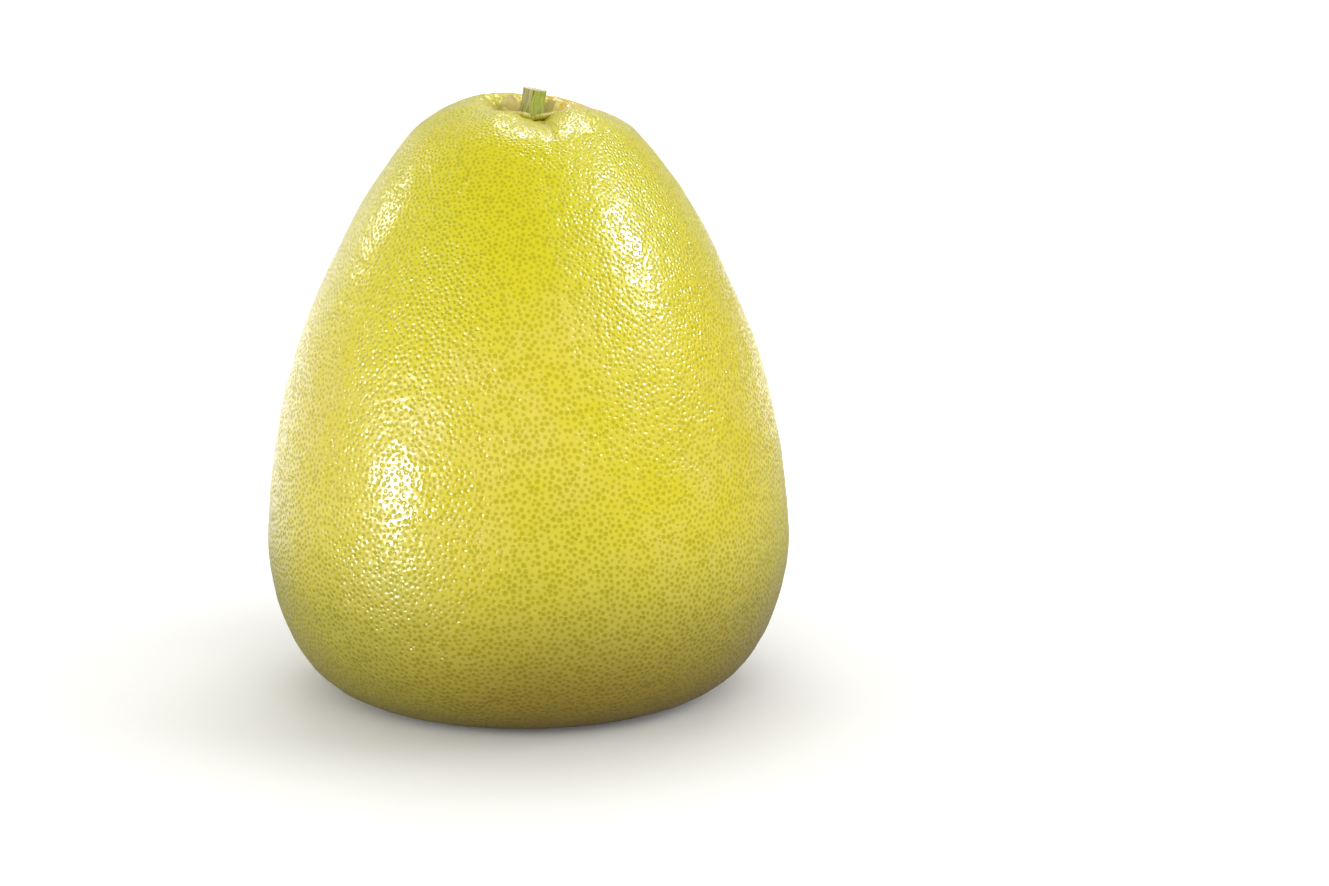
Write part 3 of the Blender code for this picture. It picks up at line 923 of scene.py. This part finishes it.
def green_citrus_twig():
    """A young citrus twig, cut across: olive bark with tan corky stripes along it, pale wood with a
    thin green rim under the bark, and a beige pith."""
    material, tree, shader = new_material("green_citrus_twig")
    fibre = add_node(tree, "ShaderNodeAttribute", output="Vector", attribute_name="fibre")
    cut_share = add_node(tree, "ShaderNodeAttribute", output="Fac", attribute_name="cut_share")
    place = add_node(tree, "ShaderNodeTexCoord", output="Object")

    # Corky stripes about 0.4 mm wide, more of them on the left, and thin cracks.
    drawn = add_node(tree, "ShaderNodeVectorMath", {0: fibre, 1: (1.0, 1.0, 0.1)}, operation="MULTIPLY")
    stripes = add_node(
        tree, "ShaderNodeTexNoise", {"Vector": drawn, "Scale": 9.0, "Detail": 4.0, "Roughness": 0.65}
    )
    mottle = add_node(tree, "ShaderNodeTexNoise", {"Vector": place, "Scale": 600.0, "Detail": 3.0})
    bark = add_node(
        tree,
        "ShaderNodeMix",
        {0: mottle, 6: linear("#8C9C28"), 7: linear("#BEC850")},
        2,
        data_type="RGBA",
    )
    left = add_node(tree, "ShaderNodeSeparateXYZ", {0: fibre}, "X")
    tan = add_node(tree, "ShaderNodeMath", {0: left, 1: -0.14, 2: stripes}, operation="MULTIPLY_ADD")
    cracks = add_node(
        tree, "ShaderNodeTexNoise", {"Vector": drawn, "Scale": 16.0, "Detail": 3.0, "Roughness": 0.6}
    )
    for source, low, shade in ((tan, 0.5, "#B29A50"), (cracks, 0.52, "#4E4420")):
        share = add_node(
            tree,
            "ShaderNodeMapRange",
            {"Value": source, "From Min": low, "From Max": 0.64, "To Max": 0.85},
            interpolation_type="SMOOTHSTEP",
        )
        bark = add_node(tree, "ShaderNodeMix", {0: share, 6: bark, 7: linear(shade)}, 2, data_type="RGBA")

    # The cut: wood inside the green rim, and the pith in the middle.
    on_cut = add_node(tree, "ShaderNodeMath", {0: cut_share, 1: 0.93}, operation="LESS_THAN")
    wood = add_node(
        tree,
        "ShaderNodeMix",
        {0: mottle, 6: linear("#E6D3B4"), 7: linear("#F0E4CC")},
        2,
        data_type="RGBA",
    )
    pith = add_node(
        tree,
        "ShaderNodeMapRange",
        {"Value": cut_share, "From Min": 0.22, "From Max": 0.34, "To Min": 0.8, "To Max": 0.0},
    )
    wood = add_node(tree, "ShaderNodeMix", {0: pith, 6: wood, 7: linear("#C9AE80")}, 2, data_type="RGBA")
    colour = add_node(tree, "ShaderNodeMix", {0: on_cut, 6: bark, 7: wood}, 2, data_type="RGBA")
    tree.links.new(colour, shader.inputs["Base Color"])
    shader.inputs["Roughness"].default_value = 0.58
    bump = add_node(tree, "ShaderNodeBump", {"Height": stripes, "Distance": 0.2 * MM, "Strength": 0.7})
    tree.links.new(bump, shader.inputs["Normal"])
    return material


# The paper glows most towards this side, though it is no lamp, and only in mirrored rays: a painted glow
# that the wax shows as a painted reflection, this strong.
FAR_LEFT = (-0.55, 0.83, 0.0)
PAPER_MIRRORED_GLOW = 1.55
FLOOR_HALF_WIDTH_M = 6.0


def white_paper():
    """The studio's white paper floor: matt, with nothing to see on it. It throws less light up at the
    fruit than it shows, because the photograph's fruit is dark towards its base. It glows though it is no
    lamp: for the camera a painted glow that is none at the fruit's foot and grows outwards, so the far
    paper shows white, and for mirrored rays a painted glow that is brightest on its far left, which the
    wax at the fruit's left edge shows as a painted reflection."""
    material, tree, shader = new_material("white_paper")
    place = add_node(tree, "ShaderNodeTexCoord", output="Object")
    fleck = add_node(tree, "ShaderNodeTexNoise", {"Vector": place, "Scale": 900.0, "Detail": 2.0})
    colour = add_node(
        tree, "ShaderNodeMix", {0: fleck, 6: linear("#F3F3F1"), 7: linear("#F7F7F5")}, 2, data_type="RGBA"
    )
    radius = add_node(tree, "ShaderNodeVectorMath", {0: place}, "Value", operation="LENGTH")
    # Painted glow seen by the camera: none at the fruit's foot and growing outwards, so the far paper
    # shows white.
    far = add_node(
        tree, "ShaderNodeMapRange", {"Value": radius, "From Min": 0.03, "From Max": 0.4, "To Max": 0.85}
    )
    seen = add_node(tree, "ShaderNodeLightPath", output="Is Camera Ray")
    paper_glow = add_node(tree, "ShaderNodeMath", {0: far, 1: seen}, operation="MULTIPLY")
    side = add_node(
        tree, "ShaderNodeVectorMath", {0: place, 1: FAR_LEFT}, "Value", operation="DOT_PRODUCT"
    )
    bright_side = add_node(
        tree,
        "ShaderNodeMapRange",
        {"Value": side, "From Min": 0.1, "From Max": 0.38, "To Min": 0.15, "To Max": 1.0},
        interpolation_type="SMOOTHSTEP",
    )
    # Painted glow seen only in mirrored rays, brightest on the far left, which the wax at the fruit's
    # left edge shows as a painted reflection.
    mirrored_glow = add_node(tree, "ShaderNodeMath", {0: bright_side, 1: far}, operation="MULTIPLY")
    mirrored_glow = add_node(tree, "ShaderNodeMath", {0: mirrored_glow, 1: PAPER_MIRRORED_GLOW}, operation="MULTIPLY")
    mirrored = add_node(tree, "ShaderNodeLightPath", output="Is Glossy Ray")
    paper_glow = add_node(tree, "ShaderNodeMath", {0: mirrored_glow, 1: mirrored, 2: paper_glow}, operation="MULTIPLY_ADD")
    # The paper's painted glow, for the camera and for mirrored rays.
    shader.inputs["Emission Color"].default_value = (1.0, 1.0, 1.0, 1.0)
    tree.links.new(paper_glow, shader.inputs["Emission Strength"])
    dim = add_node(
        tree,
        "ShaderNodeMix",
        {0: bright_side, 6: linear("#949492"), 7: linear("#C8C8C6")},
        2,
        data_type="RGBA",
    )
    dim = add_node(tree, "ShaderNodeMix", {0: seen, 6: dim, 7: colour}, 2, data_type="RGBA")
    tree.links.new(dim, shader.inputs["Base Color"])
    shader.inputs["Roughness"].default_value = 0.9
    shader.inputs["Specular IOR Level"].default_value = 0.1
    return material


def make_floor(material):
    """A square of paper, far wider than what the camera sees."""
    corners = np.array([(-1.0, -1.0, 0.0), (1.0, -1.0, 0.0), (1.0, 1.0, 0.0), (-1.0, 1.0, 0.0)])
    corners = FLOOR_HALF_WIDTH_M * corners
    floor = new_object("floor", corners, [(0, 1, 2, 3)])
    floor.data.materials.append(material)


def make_camera():
    """The camera stands so that the fruit is seen where the photograph has it, and isn't shifted."""
    up = Vector((0.0, math.sin(CAMERA_ELEVATION), math.cos(CAMERA_ELEVATION)))
    back = Vector((0.0, -math.cos(CAMERA_ELEVATION), math.sin(CAMERA_ELEVATION)))
    focus = Vector((0.0, 0.0, FOCUS_HEIGHT_MM * MM))
    aside = (0.5 * PHOTO_WIDTH_PX - AXIS_PX[0]) * PIXEL_MM * MM
    below = (0.5 * PHOTO_HEIGHT_PX - AXIS_PX[1]) * PIXEL_MM * MM
    aim = focus + Vector((aside, 0.0, 0.0)) - up * below
    camera = bpy.data.objects.new("camera", bpy.data.cameras.new("camera"))
    bpy.context.scene.collection.objects.link(camera)
    camera.data.sensor_width = SENSOR_MM
    camera.data.lens = SENSOR_MM * CAMERA_DISTANCE_MM / (PHOTO_WIDTH_PX * PIXEL_MM)
    camera.location = focus + back * CAMERA_DISTANCE_MM * MM
    camera.rotation_mode = "QUATERNION"
    camera.rotation_quaternion = (aim - camera.location).to_track_quat("-Z", "Y")
    bpy.context.scene.camera = camera


# The lamps: the direction each stands in, how far from the fruit's middle, its width and height, and
# how bright its face is. The soft ones throw the light but aren't mirrored in the wax. The glints are
# the small bright lamps, and the pale wall at the back left, that the wax mirrors.
SOFT_LAMPS = {
    "right_soft": ((0.85, -0.1, 0.35), 1.2, 0.8, 0.8, 2.8),
    "left_soft": ((-0.9, -0.35, -0.02), 1.2, 0.8, 0.8, 2.5),
    "front_soft": ((0.05, -0.95, 0.28), 1.6, 1.6, 1.4, 2.68),
    "top_soft": ((0.1, 0.5, 0.86), 1.6, 1.6, 1.6, 1.1),
}
GLINTS = {
    "right_glint": ((0.82, -0.12, 0.67), 1.0, 0.22, 0.17, 145.0),
    "left_glint": ((-0.83, -0.55, 0.10), 1.0, 0.24, 0.2, 98.0),
    "back_left_glint": ((-0.802, 0.44, 0.45), 1.0, 0.24, 0.16, 14.0),
    "overhead_glint": ((0.16, 0.449, 0.875), 1.0, 0.5, 0.07, 46.0),
    "left_sheen": ((-0.68, 0.72, 0.12), 1.2, 0.9, 0.5, 0.7),
}

# The room's brightness behind the camera and behind the fruit, where the white backdrop is, and the
# side of the room that is the brightest.
ROOM_FRONT = 0.22
ROOM_BACK = 0.8
ROOM_BRIGHT_SIDE = (-0.45, 0.89, 0.0)


def make_lights():
    """Square or oblong lamps round the fruit, each turned to its middle."""
    for name, (direction, distance, width, height, brightness) in {**SOFT_LAMPS, **GLINTS}.items():
        light = bpy.data.lights.new(name, "AREA")
        light.shape = "RECTANGLE"
        light.size = width
        light.size_y = height
        light.energy = brightness * math.pi * width * height
        lamp = bpy.data.objects.new(name, light)
        bpy.context.scene.collection.objects.link(lamp)
        toward = Vector(direction).normalized()
        lamp.location = Vector((0.0, 0.0, FOCUS_HEIGHT_MM * MM)) + toward * distance
        lamp.rotation_mode = "QUATERNION"
        lamp.rotation_quaternion = toward.to_track_quat("Z", "Y")
        lamp.visible_camera = False
        lamp.visible_glossy = name in GLINTS
        lamp.visible_diffuse = name in SOFT_LAMPS


def make_room():
    """The white room: brighter behind the fruit than behind the camera, and plain white where it is
    seen."""
    world = bpy.data.worlds.new("white_room")
    bpy.context.scene.world = world
    world.use_nodes = True
    tree = world.node_tree
    background = tree.nodes["Background"]
    direction = add_node(tree, "ShaderNodeTexCoord", output="Generated")
    behind = add_node(
        tree,
        "ShaderNodeVectorMath",
        {0: direction, 1: ROOM_BRIGHT_SIDE},
        "Value",
        operation="DOT_PRODUCT",
    )
    glow = add_node(
        tree,
        "ShaderNodeMapRange",
        {"Value": behind, "From Min": -0.3, "From Max": 0.9, "To Min": ROOM_FRONT, "To Max": ROOM_BACK},
        interpolation_type="SMOOTHSTEP",
    )
    seen = add_node(tree, "ShaderNodeLightPath", output="Is Camera Ray")
    strength = add_node(tree, "ShaderNodeMix", {0: seen, 2: glow, 3: 1.0}, 0, data_type="FLOAT")
    tree.links.new(strength, background.inputs["Strength"])
    background.inputs["Color"].default_value = (1.0, 1.0, 1.0, 1.0)
    bpy.context.scene.view_settings.view_transform = "Standard"


def main():
    make_camera()
    rind = make_rind(waxy_citrus_rind())
    sepals = make_sepals(dried_calyx())
    twig = make_twig(green_citrus_twig())
    pieces = ((rind, "fruit", "rind"), (sepals, "calyx", "calyx"), (twig, "stem", "stem"))
    for piece, node, slot in pieces:
        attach(piece, "root")
        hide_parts(node)
    make_floor(white_paper())
    make_lights()
    make_room()


main()
